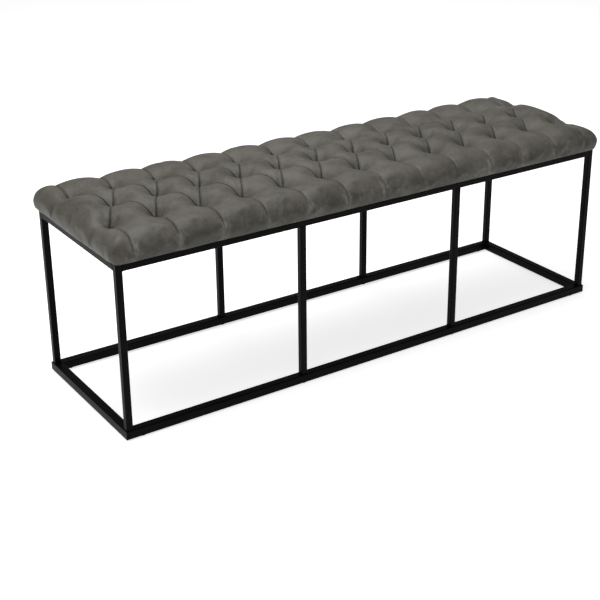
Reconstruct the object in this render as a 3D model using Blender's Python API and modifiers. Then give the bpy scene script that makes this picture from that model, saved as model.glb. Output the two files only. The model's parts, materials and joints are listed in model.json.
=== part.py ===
"""Entryway bench: a welded square-tube frame under a long diamond-tufted leather seat.

Metres, +Z up. X runs along the bench, -Y is the front, and the origin is on the floor under
the middle of the bench. Pieces that touch keep a small fit gap to each other.
"""

import math

import bmesh
import bpy
from mathutils import Matrix, Vector

# Overall sizes
BENCH_HEIGHT = 0.451
BASE_LENGTH = 1.314
BASE_DEPTH = 0.385
FRAME_TOP = 0.392
FIT_GAP = 0.0003
ALONG_X = (1, 0, 0)
ALONG_Y = (0, 1, 0)

# Square tubes
BASE_TUBE = 0.020
TOP_TUBE = 0.015
TUBE_WALL = 0.0015
TUBE_CORNER = 0.002
CORNER_STEPS = 2
TOP_LENGTH = BASE_LENGTH - (BASE_TUBE - TOP_TUBE)
TOP_DEPTH = BASE_DEPTH - (BASE_TUBE - TOP_TUBE)
LEG_X = (TOP_LENGTH - TOP_TUBE) / 2
LEG_Y = (TOP_DEPTH - TOP_TUBE) / 2
POST_X = LEG_X / 3

# Glides pressed into the base rails
GLIDE_HEIGHT = 0.002
GLIDE_RADIUS = 0.0075
GLIDE_STEM_RADIUS = 0.0027
GLIDE_STEM_REACH = 0.0035
GLIDE_TIP_RADIUS = 0.0019
GLIDE_CHAMFER = 0.0005
GLIDE_HOLE_RADIUS = 0.0031
GLIDE_FROM_LEG = 0.030
BASE_TOP = GLIDE_HEIGHT + BASE_TUBE

# Seat: layers from the frame upwards
COVER_THICKNESS = 0.0012
BOARD_THICKNESS = 0.012
BATTING_THICKNESS = 0.004
DUST_COVER_THICKNESS = 0.0006
SEAT_BOTTOM = FRAME_TOP + FIT_GAP
BOARD_BOTTOM = SEAT_BOTTOM + COVER_THICKNESS + FIT_GAP
BOARD_TOP = BOARD_BOTTOM + BOARD_THICKNESS
BOARD_INSET = 0.0045
BOARD_CORNER = 0.008
COVER_FLANGE = 0.020
DUST_COVER_TOP = SEAT_BOTTOM - FIT_GAP
DUST_COVER_CLEARANCE = 0.001

# Seat: rounded side, as two quarter ellipses that meet at the widest line
SIDE_SWELL = 0.009
SWELL_HEIGHT = 0.021
SHOULDER_REACH = 0.045
SHOULDER_RISE = BENCH_HEIGHT - SEAT_BOTTOM - SWELL_HEIGHT
SEAT_CORNER = 0.012
LEAST_CORNER = 0.002
SEAT_CORNER_STEPS = 4
SWELL_STEPS = 3
SHOULDER_STEPS = 5
BATTING_CLEARANCE = 0.0004
BATTING_INSET = COVER_THICKNESS + BATTING_CLEARANCE
BATTING_START = math.radians(35)
FOAM_INSET = 0.0066

# Tufting: 13, 12 and 13 tufts, the middle row shifted by half a pitch
TUFT_PITCH = 0.103
ROW_PITCH = 0.095
TUFTS_OUTER_ROW = 13
TUFTS_MIDDLE_ROW = 12
TWINE_RADIUS = 0.0005
TWINE_SPREAD = 0.0015
TWINE_TOP = 0.427
TWINE_HOLE_RADIUS = 0.0026
FOAM_HOLE_RADIUS = 0.004

# Seat fasteners
TAB_LENGTH = 0.030
TAB_DEPTH = 0.022
TAB_THICKNESS = 0.003
TAB_CORNER = 0.005
TAB_HOLE_DEPTH = 0.012
TAB_HOLE_RADIUS = 0.0035
TAB_TOP = DUST_COVER_TOP - DUST_COVER_THICKNESS - FIT_GAP
TAB_SPREAD = 0.550
BOLT_LENGTH = 0.016
BOLT_RADIUS = 0.0029
BOLT_TIP_RADIUS = 0.0023
BOLT_CHAMFER = 0.0007
BOLT_HEAD_RADIUS = 0.0055
BOLT_HEAD_HEIGHT = 0.0035
BOLT_HEAD_EDGE = 0.0012
BOLT_CROWN_RADIUS = 0.004
SOCKET_RADIUS = 0.0023
SOCKET_DEPTH = 0.002
INSERT_RADIUS = 0.005
INSERT_BORE = 0.0032
INSERT_LENGTH = 0.010
INSERT_LEAD_RADIUS = 0.0045
INSERT_LEAD = 0.0005
INSERT_HOLE_RADIUS = 0.0054
DUST_HOLE_RADIUS = 0.0045

# Mesh detail
TURNED_STEPS = 12
SMALL_HOLE_SIDES = 6
ROUND_HOLE_SIDES = 12
WELD_DISTANCE = 1e-6
AXIS_MERGE = 1e-5
SHARP_ANGLE = math.radians(38)

# Colours (linear RGB), roughness and metallic value
FINISHES = {
    "black_powder_coat": ((0.012, 0.012, 0.013), 0.45, 0.0),
    "grey_leather": ((0.115, 0.105, 0.088), 0.42, 0.0),
    "polyester_batting": ((0.80, 0.80, 0.78), 0.95, 0.0),
    "seat_foam": ((0.78, 0.70, 0.42), 0.90, 0.0),
    "plywood": ((0.42, 0.27, 0.14), 0.70, 0.0),
    "black_cambric": ((0.010, 0.010, 0.011), 0.90, 0.0),
    "waxed_twine": ((0.62, 0.55, 0.40), 0.75, 0.0),
    "zinc_plated_steel": ((0.55, 0.55, 0.56), 0.30, 1.0),
    "black_nylon": ((0.015, 0.015, 0.015), 0.55, 0.0),
}


def clear_scene():
    """Removes whatever the scene holds."""
    for obj in list(bpy.data.objects):
        bpy.data.objects.remove(obj)


def new_collection(name):
    """Makes a collection in the scene."""
    collection = bpy.data.collections.new(name)
    bpy.context.scene.collection.children.link(collection)
    return collection


def make_materials():
    """Makes one Principled material for each finish."""
    made = {}
    for name, (colour, roughness, metallic) in FINISHES.items():
        material = bpy.data.materials.new(name)
        material.use_nodes = True
        shader = material.node_tree.nodes["Principled BSDF"]
        shader.inputs["Base Color"].default_value = (*colour, 1.0)
        shader.inputs["Roughness"].default_value = roughness
        shader.inputs["Metallic"].default_value = metallic
        material.diffuse_color = (*colour, 1.0)
        made[name] = material
    return made


def rounded_rectangle(width, depth, radius, steps, centre=(0.0, 0.0)):
    """Points of a rectangle with round corners, counter-clockwise."""
    points = []
    for quarter, (sign_x, sign_y) in enumerate(((1, 1), (-1, 1), (-1, -1), (1, -1))):
        corner_x = centre[0] + sign_x * (width / 2 - radius)
        corner_y = centre[1] + sign_y * (depth / 2 - radius)
        for step in range(steps + 1):
            angle = math.radians(90) * (quarter + step / steps)
            points.append((corner_x + radius * math.cos(angle), corner_y + radius * math.sin(angle)))
    return points


def circle(centre, radius, sides):
    """Points of a circle around a centre."""
    turn = 2 * math.pi / sides
    return [
        (centre[0] + radius * math.cos(turn * k), centre[1] + radius * math.sin(turn * k))
        for k in range(sides)
    ]


def link(name, mesh, material=None, collection=None):
    """Makes an object of a mesh, in the bench's collection unless another is given."""
    obj = bpy.data.objects.new(name, mesh)
    (collection or bench_parts).objects.link(obj)
    if collection is None:
        obj.parent = bench_origin
    if material and not mesh.materials:
        mesh.materials.append(materials[material])
    return obj


def evaluated_mesh(obj, smooth=False):
    """The object's mesh with its modifiers applied and loose caps welded; the object is removed."""
    bpy.context.view_layer.update()
    graph = bpy.context.evaluated_depsgraph_get()
    mesh = bpy.data.meshes.new_from_object(obj.evaluated_get(graph))
    shape = bmesh.new()
    shape.from_mesh(mesh)
    bmesh.ops.remove_doubles(shape, verts=shape.verts, dist=WELD_DISTANCE)
    shape.to_mesh(mesh)
    shape.free()
    mesh.materials.clear()
    if smooth:
        mesh.shade_smooth()
        mesh.set_sharp_from_angle(angle=SHARP_ANGLE)
    bpy.data.objects.remove(obj)
    return mesh


def outline_mesh(outlines, thickness):
    """A flat plate of a 2D outline with holes, centred on its own plane."""
    curve = bpy.data.curves.new("outline", "CURVE")
    curve.dimensions = "2D"
    curve.fill_mode = "BOTH"
    curve.extrude = thickness / 2
    for points in outlines:
        spline = curve.splines.new("POLY")
        spline.points.add(len(points) - 1)
        for point, (x, y) in zip(spline.points, points):
            point.co = (x, y, 0, 1)
        spline.use_cyclic_u = True
    return evaluated_mesh(link("outline", curve, collection=cutters))


def turned_mesh(profile, closed=False):
    """A turned shape: the profile, as (radius, height) points, swept round +Z."""
    mesh = bpy.data.meshes.new("profile")
    count = len(profile)
    edges = [(k, (k + 1) % count) for k in range(count if closed else count - 1)]
    mesh.from_pydata([(radius, 0, height) for radius, height in profile], edges, [])
    obj = link("profile", mesh, collection=cutters)
    screw = obj.modifiers.new("turn", "SCREW")
    screw.axis = "Z"
    screw.steps = screw.render_steps = TURNED_STEPS
    screw.use_merge_vertices = True
    screw.merge_threshold = AXIS_MERGE
    return evaluated_mesh(obj, smooth=True)


def prism_cutter(name, centres, radius, low, high, sides):
    """A hidden cutter: one upright prism at each centre."""
    shape = bmesh.new()
    for x, y in centres:
        place = Matrix.Translation((x, y, (low + high) / 2))
        bmesh.ops.create_cone(
            shape,
            cap_ends=True,
            segments=sides,
            radius1=radius,
            radius2=radius,
            depth=high - low,
            matrix=place,
        )
    mesh = bpy.data.meshes.new(name)
    shape.to_mesh(mesh)
    shape.free()
    cutter = link(name, mesh, collection=cutters)
    cutter.hide_render = True
    cutter.display_type = "WIRE"
    return cutter


def cut(obj, cutter):
    """Cuts a cutter out of an object."""
    boolean = obj.modifiers.new("cut", "BOOLEAN")
    boolean.operation = "DIFFERENCE"
    boolean.solver = "EXACT"
    boolean.object = cutter


def tube_mesh(side, length, mitred=False):
    """A square tube along Z, its +Y side facing the frame's inside, with mitred ends if asked."""
    inner = side - 2 * TUBE_WALL
    outlines = [
        rounded_rectangle(side, side, TUBE_CORNER, CORNER_STEPS),
        rounded_rectangle(inner, inner, TUBE_CORNER - TUBE_WALL / 2, CORNER_STEPS),
    ]
    mesh = outline_mesh(outlines, length)
    if mitred:
        for vertex in mesh.vertices:
            end = math.copysign(1, vertex.co.z)
            vertex.co.z -= end * (side / 2 + vertex.co.y + FIT_GAP * math.sqrt(0.5))
    return mesh


def add_tube(name, mesh, location, length_axis=None, inward=None):
    """Places a tube upright, or with its length along an axis and its +Y side facing inward."""
    obj = link(name, mesh, "black_powder_coat")
    obj.location = location
    if length_axis:
        sideways = Vector(inward).cross(Vector(length_axis))
        turn = Matrix((sideways, inward, length_axis)).transposed()
        obj.rotation_euler = turn.to_euler()
    return obj


def corners():
    """The four corners, as (name, x sign, y sign)."""
    for row, sign_y in (("front", -1), ("back", 1)):
        for side, sign_x in (("left", -1), ("right", 1)):
            yield f"{row}_{side}", sign_x, sign_y


def build_base():
    """Four mitred base rails, the long ones drilled for the glides, and the glides."""
    long_rail = tube_mesh(BASE_TUBE, BASE_LENGTH, mitred=True)
    short_rail = tube_mesh(BASE_TUBE, BASE_DEPTH, mitred=True)
    height = GLIDE_HEIGHT + BASE_TUBE / 2
    end_x = LEG_X - GLIDE_FROM_LEG
    glide_x = {"left": -end_x, "mid_left": -POST_X, "mid_right": POST_X, "right": end_x}
    glide_profile = [
        (0, GLIDE_HEIGHT + TUBE_WALL + GLIDE_STEM_REACH),
        (GLIDE_TIP_RADIUS, GLIDE_HEIGHT + TUBE_WALL + GLIDE_STEM_REACH),
        (GLIDE_STEM_RADIUS, GLIDE_HEIGHT + TUBE_WALL),
        (GLIDE_STEM_RADIUS, GLIDE_HEIGHT - FIT_GAP),
        (GLIDE_RADIUS, GLIDE_HEIGHT - FIT_GAP),
        (GLIDE_RADIUS - GLIDE_CHAMFER, 0),
        (0, 0),
    ]
    glide = turned_mesh(glide_profile)
    for name, sign in (("front", -1), ("back", 1)):
        y = sign * (BASE_DEPTH - BASE_TUBE) / 2
        rail = add_tube(f"base_rail_{name}", long_rail, (0, y, height), ALONG_X, (0, -sign, 0))
        centres = [(x, y) for x in glide_x.values()]
        top = GLIDE_HEIGHT + 2 * TUBE_WALL
        cut(rail, prism_cutter(f"glide_holes_{name}", centres, GLIDE_HOLE_RADIUS, 0, top, ROUND_HOLE_SIDES))
        for place, x in glide_x.items():
            link(f"glide_{name}_{place}", glide, "black_nylon").location = (x, y, 0)
    for name, sign in (("left", -1), ("right", 1)):
        x = sign * (BASE_LENGTH - BASE_TUBE) / 2
        add_tube(f"base_rail_{name}", short_rail, (x, 0, height), ALONG_Y, (-sign, 0, 0))


def build_uprights():
    """Four corner legs up to the top of the frame, and four posts under the top rails."""
    foot = BASE_TOP + FIT_GAP
    post_top = FRAME_TOP - TOP_TUBE - FIT_GAP
    leg = tube_mesh(TOP_TUBE, FRAME_TOP - foot)
    post = tube_mesh(TOP_TUBE, post_top - foot)
    for name, sign_x, sign_y in corners():
        add_tube(f"leg_{name}", leg, (sign_x * LEG_X, sign_y * LEG_Y, (FRAME_TOP + foot) / 2))
        add_tube(f"post_{name}", post, (sign_x * POST_X, sign_y * LEG_Y, (post_top + foot) / 2))


def build_top_frame():
    """Four top rails, each fitted between two corner legs."""
    long_rail = tube_mesh(TOP_TUBE, TOP_LENGTH - 2 * (TOP_TUBE + FIT_GAP))
    short_rail = tube_mesh(TOP_TUBE, TOP_DEPTH - 2 * (TOP_TUBE + FIT_GAP))
    height = FRAME_TOP - TOP_TUBE / 2
    for name, sign in (("front", -1), ("back", 1)):
        add_tube(f"top_rail_{name}", long_rail, (0, sign * LEG_Y, height), ALONG_X, (0, -sign, 0))
    for name, sign in (("left", -1), ("right", 1)):
        add_tube(f"top_rail_{name}", short_rail, (sign * LEG_X, 0, height), ALONG_Y, (-sign, 0, 0))


def fastener_places():
    """Where the seat is bolted down: name, point on the rail's inner face, and turn round Z."""
    inner_x = LEG_X - TOP_TUBE / 2
    inner_y = LEG_Y - TOP_TUBE / 2
    places = []
    for row, sign_y in (("front", -1), ("back", 1)):
        for side, sign_x in (("left", -1), ("middle", 0), ("right", 1)):
            turn = 0.0 if sign_y < 0 else math.pi
            places.append((f"{row}_{side}", (sign_x * TAB_SPREAD, sign_y * inner_y), turn))
    places.append(("left_end", (-inner_x, 0.0), -math.pi / 2))
    places.append(("right_end", (inner_x, 0.0), math.pi / 2))
    return places


def bolt_centre(point, turn):
    """The bolt's axis, inward from the rail's face by the tab's hole distance."""
    reach = TAB_HOLE_DEPTH
    return point[0] - reach * math.sin(turn), point[1] + reach * math.cos(turn)


def build_fasteners():
    """Welded tabs inside the top frame, button-head bolts and threaded inserts in the board."""
    plate_depth = TAB_DEPTH - FIT_GAP
    tab_outline = rounded_rectangle(
        TAB_LENGTH, plate_depth, TAB_CORNER, CORNER_STEPS, (0, FIT_GAP + plate_depth / 2)
    )
    tab_hole = circle((0, TAB_HOLE_DEPTH), TAB_HOLE_RADIUS, ROUND_HOLE_SIDES)
    tab = outline_mesh([tab_outline, tab_hole], TAB_THICKNESS)
    bolt_profile = [
        (0, BOLT_LENGTH),
        (BOLT_TIP_RADIUS, BOLT_LENGTH),
        (BOLT_RADIUS, BOLT_LENGTH - BOLT_CHAMFER),
        (BOLT_RADIUS, 0),
        (BOLT_HEAD_RADIUS, 0),
        (BOLT_HEAD_RADIUS, -BOLT_HEAD_EDGE),
        (BOLT_CROWN_RADIUS, -BOLT_HEAD_HEIGHT),
        (0, -BOLT_HEAD_HEIGHT),
    ]
    plain_bolt = link("plain_bolt", turned_mesh(bolt_profile), collection=cutters)
    socket = prism_cutter(
        "bolt_socket",
        [(0, 0)],
        SOCKET_RADIUS,
        -2 * BOLT_HEAD_HEIGHT,
        SOCKET_DEPTH - BOLT_HEAD_HEIGHT,
        SMALL_HOLE_SIDES,
    )
    cut(plain_bolt, socket)
    bolt = evaluated_mesh(plain_bolt, smooth=True)
    bpy.data.objects.remove(socket)
    insert_profile = [
        (INSERT_RADIUS, INSERT_LENGTH),
        (INSERT_RADIUS, INSERT_LEAD),
        (INSERT_LEAD_RADIUS, 0),
        (INSERT_BORE, 0),
        (INSERT_BORE, INSERT_LENGTH),
    ]
    insert = turned_mesh(insert_profile, closed=True)
    for name, point, turn in fastener_places():
        plate = link(f"seat_tab_{name}", tab, "black_powder_coat")
        plate.location = (*point, TAB_TOP - TAB_THICKNESS / 2)
        plate.rotation_euler.z = turn
        centre = bolt_centre(point, turn)
        screw = link(f"seat_bolt_{name}", bolt, "zinc_plated_steel")
        screw.location = (*centre, TAB_TOP - TAB_THICKNESS - FIT_GAP)
        nut = link(f"threaded_insert_{name}", insert, "zinc_plated_steel")
        nut.location = (*centre, BOARD_BOTTOM + FIT_GAP)


def tuft_row(count):
    """The x of each tuft in a row of this many, centred on the bench."""
    return [(k - (count - 1) / 2) * TUFT_PITCH for k in range(count)]


def tuft_rows():
    """The three rows of tufts: name, y and each tuft's x."""
    return (
        ("front", -ROW_PITCH, tuft_row(TUFTS_OUTER_ROW)),
        ("middle", 0.0, tuft_row(TUFTS_MIDDLE_ROW)),
        ("back", ROW_PITCH, tuft_row(TUFTS_OUTER_ROW)),
    )


def tuft_points():
    """Every tuft's place in plan."""
    return [(x, y) for _, y, row in tuft_rows() for x in row]


def seat_section(inset, start=0.0):
    """The side of the seat from its foot to its flat top, as (outset from the frame, height above
    the seat's bottom), moved inwards by the inset. The start angle leaves out the foot's first part."""
    section = []
    for step in range(SWELL_STEPS):
        angle = start + (math.pi / 2 - start) * step / SWELL_STEPS
        point = (SIDE_SWELL * math.sin(angle), SWELL_HEIGHT * (1 - math.cos(angle)))
        normal = (SWELL_HEIGHT * math.sin(angle), -SIDE_SWELL * math.cos(angle))
        section.append(inset_point(point, normal, inset))
    for step in range(SHOULDER_STEPS + 1):
        angle = math.pi / 2 * step / SHOULDER_STEPS
        point = (
            SIDE_SWELL - SHOULDER_REACH * (1 - math.cos(angle)),
            SWELL_HEIGHT + SHOULDER_RISE * math.sin(angle),
        )
        normal = (SHOULDER_RISE * math.cos(angle), SHOULDER_REACH * math.sin(angle))
        section.append(inset_point(point, normal, inset))
    return section


def inset_point(point, normal, inset):
    """Moves a point against its normal."""
    length = math.hypot(*normal)
    return point[0] - inset * normal[0] / length, point[1] - inset * normal[1] / length


def seat_ring(shape, outset, height):
    """A rounded rectangle round the seat at one height."""
    corner = max(SEAT_CORNER + outset, LEAST_CORNER)
    outline = rounded_rectangle(TOP_LENGTH + 2 * outset, TOP_DEPTH + 2 * outset, corner, SEAT_CORNER_STEPS)
    return [shape.verts.new((x, y, SEAT_BOTTOM + height)) for x, y in outline]


def lofted_seat_mesh(name, section, closed_foot):
    """The seat's shape through rings of its section, with a flat top and, if asked, a flat foot."""
    shape = bmesh.new()
    rings = [seat_ring(shape, outset, height) for outset, height in section]
    for low, high in zip(rings, rings[1:]):
        for k in range(len(low)):
            after = (k + 1) % len(low)
            shape.faces.new((low[k], low[after], high[after], high[k]))
    shape.faces.new(rings[-1])
    if closed_foot:
        shape.faces.new(rings[0][::-1])
    mesh = bpy.data.meshes.new(name)
    shape.to_mesh(mesh)
    shape.free()
    mesh.shade_smooth()
    mesh.set_sharp_from_angle(angle=SHARP_ANGLE)
    return mesh


def thicken(obj, thickness):
    """Gives an open surface a thickness on its inner side."""
    solidify = obj.modifiers.new("thickness", "SOLIDIFY")
    solidify.thickness = thickness
    solidify.offset = -1
    solidify.use_even_offset = True


def build_board():
    """The plywood seat board, with holes for the twine and the threaded inserts."""
    outlines = [
        rounded_rectangle(
            TOP_LENGTH - 2 * BOARD_INSET, TOP_DEPTH - 2 * BOARD_INSET, BOARD_CORNER, SEAT_CORNER_STEPS
        )
    ]
    outlines += [circle(point, TWINE_HOLE_RADIUS, SMALL_HOLE_SIDES) for point in tuft_points()]
    for _, point, turn in fastener_places():
        outlines.append(circle(bolt_centre(point, turn), INSERT_HOLE_RADIUS, ROUND_HOLE_SIDES))
    board = link("seat_board", outline_mesh(outlines, BOARD_THICKNESS), "plywood")
    board.location.z = (BOARD_BOTTOM + BOARD_TOP) / 2


def build_dust_cover():
    """The cambric sheet that closes the underside, inside the top frame, pierced by the bolts."""
    width = TOP_LENGTH - 2 * (TOP_TUBE + DUST_COVER_CLEARANCE)
    depth = TOP_DEPTH - 2 * (TOP_TUBE + DUST_COVER_CLEARANCE)
    outlines = [rounded_rectangle(width, depth, LEAST_CORNER, CORNER_STEPS)]
    for _, point, turn in fastener_places():
        outlines.append(circle(bolt_centre(point, turn), DUST_HOLE_RADIUS, ROUND_HOLE_SIDES))
    sheet = link("dust_cover", outline_mesh(outlines, DUST_COVER_THICKNESS), "black_cambric")
    sheet.location.z = DUST_COVER_TOP - DUST_COVER_THICKNESS / 2


def build_padding():
    """The foam pad, drilled for the twine, and the batting that wraps it."""
    widest = seat_section(FOAM_INSET)[SWELL_STEPS:]
    foot = (widest[0][0], BOARD_TOP + FIT_GAP - SEAT_BOTTOM)
    foam = link("foam_pad", lofted_seat_mesh("foam_pad", [foot, *widest], closed_foot=True), "seat_foam")
    holes = prism_cutter(
        "twine_holes", tuft_points(), FOAM_HOLE_RADIUS, FRAME_TOP, BENCH_HEIGHT, SMALL_HOLE_SIDES
    )
    cut(foam, holes)
    surface = lofted_seat_mesh("batting", seat_section(BATTING_INSET, BATTING_START), closed_foot=False)
    thicken(link("batting", surface, "polyester_batting"), BATTING_THICKNESS)


def build_cover():
    """The leather cover: its flange is folded under the board's edge."""
    section = [(-COVER_FLANGE, 0.0), *seat_section(0.0)]
    surface = lofted_seat_mesh("leather_cover", section, closed_foot=False)
    thicken(link("leather_cover", surface, "grey_leather"), COVER_THICKNESS)


def build_twine():
    """One twine for each row: up through the board and foam to a tuft, back, and on to the next."""
    run = (DUST_COVER_TOP + BOARD_BOTTOM) / 2
    for name, y, row in tuft_rows():
        route = []
        for x in row:
            route += [(x - TWINE_SPREAD, run), (x - TWINE_SPREAD, TWINE_TOP)]
            route += [(x + TWINE_SPREAD, TWINE_TOP), (x + TWINE_SPREAD, run)]
        curve = bpy.data.curves.new("twine", "CURVE")
        curve.dimensions = "3D"
        curve.bevel_depth = TWINE_RADIUS
        curve.bevel_resolution = 0
        curve.use_fill_caps = True
        spline = curve.splines.new("POLY")
        spline.points.add(len(route) - 1)
        for point, (x, height) in zip(spline.points, route):
            point.co = (x, y, height, 1)
        mesh = evaluated_mesh(link("twine", curve, collection=cutters))
        link(f"tufting_twine_{name}", mesh, "waxed_twine")


clear_scene()
bench_parts = new_collection("entryway_bench")
cutters = new_collection("cutters")
bench_origin = bpy.data.objects.new("bench_origin", None)
bench_parts.objects.link(bench_origin)
materials = make_materials()
build_base()
build_uprights()
build_top_frame()
build_fasteners()
build_board()
build_dust_cover()
build_padding()
build_cover()
build_twine()
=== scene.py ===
"""Looks of the entryway bench: a long diamond-tufted leather seat on a black square-tube frame.

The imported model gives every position. The frame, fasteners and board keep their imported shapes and
get finishes here. The soft pieces are made here: the tufted leather, its batting and foam, and the
dust cover under the board with its staples. Metres, +Z up, the front of the bench faces -Y.
"""

from __future__ import annotations

import json
import logging
import math
from collections.abc import Mapping, Sequence
from dataclasses import dataclass, field
from enum import Enum
from typing import Any

import bmesh
import bpy
import numpy as np
from mathutils import Matrix, Vector

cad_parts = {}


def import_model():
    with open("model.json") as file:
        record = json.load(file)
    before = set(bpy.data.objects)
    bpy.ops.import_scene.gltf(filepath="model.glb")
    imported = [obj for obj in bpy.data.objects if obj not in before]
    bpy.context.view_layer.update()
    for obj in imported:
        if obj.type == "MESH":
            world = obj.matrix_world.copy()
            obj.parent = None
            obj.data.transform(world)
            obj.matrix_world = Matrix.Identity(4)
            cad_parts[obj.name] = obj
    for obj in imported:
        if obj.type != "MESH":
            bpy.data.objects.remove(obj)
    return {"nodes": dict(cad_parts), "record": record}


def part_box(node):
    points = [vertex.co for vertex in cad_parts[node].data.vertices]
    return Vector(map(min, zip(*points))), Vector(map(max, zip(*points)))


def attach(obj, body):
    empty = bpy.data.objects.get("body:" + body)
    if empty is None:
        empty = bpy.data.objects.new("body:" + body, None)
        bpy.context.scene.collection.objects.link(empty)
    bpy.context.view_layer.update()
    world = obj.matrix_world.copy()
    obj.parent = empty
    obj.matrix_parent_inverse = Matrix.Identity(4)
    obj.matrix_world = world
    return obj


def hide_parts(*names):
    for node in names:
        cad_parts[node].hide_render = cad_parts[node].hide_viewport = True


LOG = logging.getLogger("bench")
BODY = "root"

Colour = tuple[float, float, float]
Numbers = np.ndarray


# Shader nodes


class Socket:
    """A socket of a node tree that takes part in shader maths."""

    def __init__(self, graph: Graph, link: bpy.types.NodeSocket) -> None:
        """Wraps one output of the graph."""
        self.graph = graph
        self.link = link

    def math(self, operation: str, first: Any, second: Any) -> Socket:
        """Adds a Math node on two values."""
        return self.graph.add("ShaderNodeMath", {"operation": operation}, {0: first, 1: second})

    def __add__(self, other: Any) -> Socket:
        """This plus other."""
        return self.math("ADD", self, other)

    __radd__ = __add__

    def __sub__(self, other: Any) -> Socket:
        """This minus other."""
        return self.math("SUBTRACT", self, other)

    def __rsub__(self, other: Any) -> Socket:
        """Other minus this."""
        return self.math("SUBTRACT", other, self)

    def __mul__(self, other: Any) -> Socket:
        """This times other."""
        return self.math("MULTIPLY", self, other)

    __rmul__ = __mul__

    def __truediv__(self, other: Any) -> Socket:
        """This over other."""
        return self.math("DIVIDE", self, other)

    def between(self, low: float, high: float, to_low: float = 0.0, to_high: float = 1.0) -> Socket:
        """Maps low..high smoothly onto to_low..to_high, and holds the ends beyond."""
        return self.graph.add(
            "ShaderNodeMapRange",
            {"interpolation_type": "SMOOTHSTEP"},
            {"Value": self, "From Min": low, "From Max": high, "To Min": to_low, "To Max": to_high},
        )


class Graph:
    """The node tree of one material."""

    def __init__(self, name: str) -> None:
        """Makes the material with an empty tree and its output."""
        self.material = bpy.data.materials.new(name)
        self.material.use_nodes = True
        self.tree = self.material.node_tree
        self.tree.nodes.clear()
        self.surface = self.tree.nodes.new("ShaderNodeOutputMaterial").inputs["Surface"]

    def add(
        self,
        kind: str,
        settings: Mapping[str, Any] | None = None,
        inputs: Mapping[str | int, Any] | None = None,
        output: str | int = 0,
    ) -> Socket:
        """Adds a node.

        Args:
            kind: the node's type.
            settings: its own settings, set first. "stops" holds a ramp's (position, colour) pairs.
            inputs: a value or a link for each socket, by name or place.
            output: the socket to give back.

        Returns:
            The node's output.
        """
        node = self.tree.nodes.new(kind)
        for name, value in (settings or {}).items():
            if name == "stops":
                self._set_stops(node.color_ramp, value)
            else:
                setattr(node, name, value)
        for name, value in (inputs or {}).items():
            if isinstance(value, Socket):
                self.tree.links.new(value.link, node.inputs[name])
            else:
                node.inputs[name].default_value = (*value, 1.0) if self._is_colour(node, name, value) else value
        return Socket(self, node.outputs[output])

    @staticmethod
    def _is_colour(node: bpy.types.Node, name: str | int, value: Any) -> bool:
        """Whether this input takes four numbers and three were given."""
        return node.inputs[name].type == "RGBA" and len(value) == 3

    @staticmethod
    def _set_stops(ramp: bpy.types.ColorRamp, stops: Sequence[tuple[float, Colour]]) -> None:
        """Gives a ramp its stops."""
        while len(ramp.elements) < len(stops):
            ramp.elements.new(0.5)
        for element, (position, colour) in zip(ramp.elements, stops):
            element.position = position
            element.color = (*colour, 1.0)

    def place(self) -> Socket:
        """The point in the bench's own coordinates, in metres."""
        return self.add("ShaderNodeTexCoord", output="Object")

    def scaled(self, vector: Socket, scale: tuple[float, float, float]) -> Socket:
        """A vector times a scale for each axis."""
        return self.add("ShaderNodeVectorMath", {"operation": "MULTIPLY"}, {0: vector, 1: scale})

    def noise(self, vector: Socket, scale: float, detail: float = 3.0, roughness: float = 0.5) -> Socket:
        """Smooth noise between 0 and 1."""
        inputs = {"Vector": vector, "Scale": scale, "Detail": detail, "Roughness": roughness}
        return self.add("ShaderNodeTexNoise", {"noise_dimensions": "3D"}, inputs)

    def cells(self, vector: Socket, scale: float, feature: str = "F1") -> Socket:
        """Distance to the nearest cell's point, or to its edge."""
        return self.add("ShaderNodeTexVoronoi", {"feature": feature}, {"Vector": vector, "Scale": scale}, "Distance")

    def attribute(self, name: str) -> Socket:
        """A number stored on the mesh's points."""
        return self.add("ShaderNodeAttribute", {"attribute_name": name}, output="Fac")

    def mix(self, factor: Any, first: Any, second: Any, blend: str = "MIX") -> Socket:
        """Mixes two colours."""
        settings = {"data_type": "RGBA", "blend_type": blend}
        return self.add("ShaderNodeMix", settings, {0: factor, 6: first, 7: second}, 2)

    def axis(self, vector: Socket, name: str) -> Socket:
        """One part of a vector: X, Y or Z."""
        return self.add("ShaderNodeSeparateXYZ", None, {"Vector": vector}, name)

    def ramp(self, factor: Socket, stops: Sequence[tuple[float, Colour]]) -> Socket:
        """A colour from a number, through (position, colour) stops."""
        return self.add("ShaderNodeValToRGB", {"stops": stops}, {"Fac": factor}, "Color")

    def bump(self, height: Socket, depth: float, under: Socket | None = None) -> Socket:
        """A normal from a height between 0 and 1 and its depth in metres, over another normal if one is given."""
        inputs = {"Height": height, "Distance": depth, "Strength": 1.0}
        if under is not None:
            inputs["Normal"] = under
        return self.add("ShaderNodeBump", None, inputs)

    def finish(self, **inputs: Any) -> bpy.types.Material:
        """Puts one Principled shader on the output.

        Args:
            inputs: its sockets, with _ for a space in their names.

        Returns:
            The material.
        """
        named = {name.replace("_", " "): value for name, value in inputs.items()}
        shader = self.add("ShaderNodeBsdfPrincipled", None, named)
        self.tree.links.new(shader.link, self.surface)
        return self.material


# Finishes


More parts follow.
